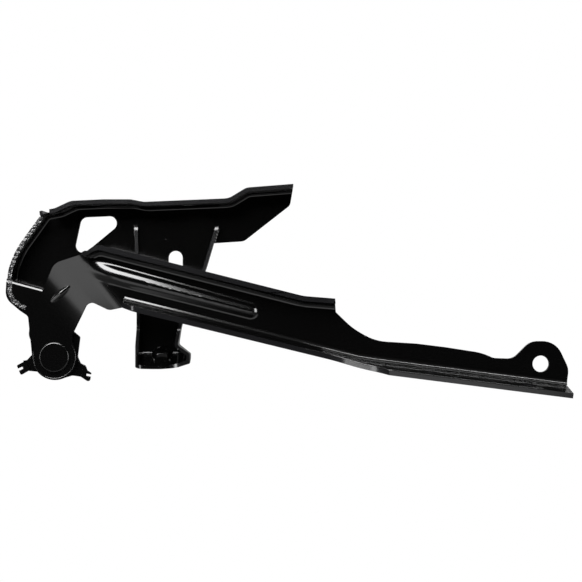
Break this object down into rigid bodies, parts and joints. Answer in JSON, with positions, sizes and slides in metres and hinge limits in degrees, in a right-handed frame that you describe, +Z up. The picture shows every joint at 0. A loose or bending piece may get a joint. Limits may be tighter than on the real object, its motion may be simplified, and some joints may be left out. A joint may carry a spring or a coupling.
{
  "type": "hood hinge",
  "caption": "Painted pressed-steel hood hinge: a body bracket with a welded support leg and a long channel arm that swings on a riveted pivot.",
  "frame": {"origin": "midway between the two body bolt holes, on the bracket flange's face that meets the body", "axes": "+X along the hood arm away from the pivot, +Y from the viewer through the hinge, parallel to the pivot axis, +Z up as pictured, out of the face that meets the body"},
  "size_m": [0.3357, 0.0605, 0.1258],
  "materials": {
    "bracket_paint": "gloss black dip paint",
    "leg_paint": "gloss black dip paint",
    "nut_paint": "gloss black dip paint",
    "arm_paint": "gloss black dip paint",
    "rivet_paint": "gloss black dip paint",
    "bush_bronze": "sintered bronze with a dry running layer",
    "washer_paint": "gloss black dip paint"
  },
  "bodies": {
    "bracket": {"body_bracket": "bracket_paint", "support_leg": "leg_paint", "foot_weld_nut": "nut_paint", "pivot_rivet": "rivet_paint", "tail_washer": "washer_paint"},
    "arm": {"hood_arm": "arm_paint", "pivot_bush": "bush_bronze"}
  },
  "joints": [
    {"name": "arm_swing", "type": "hinge", "parent": "bracket", "child": "arm", "pos_m": [-0.052, -0.005, -0.0942], "axis": [0, 1, 0], "range_deg": [0, 65]}
  ]
}
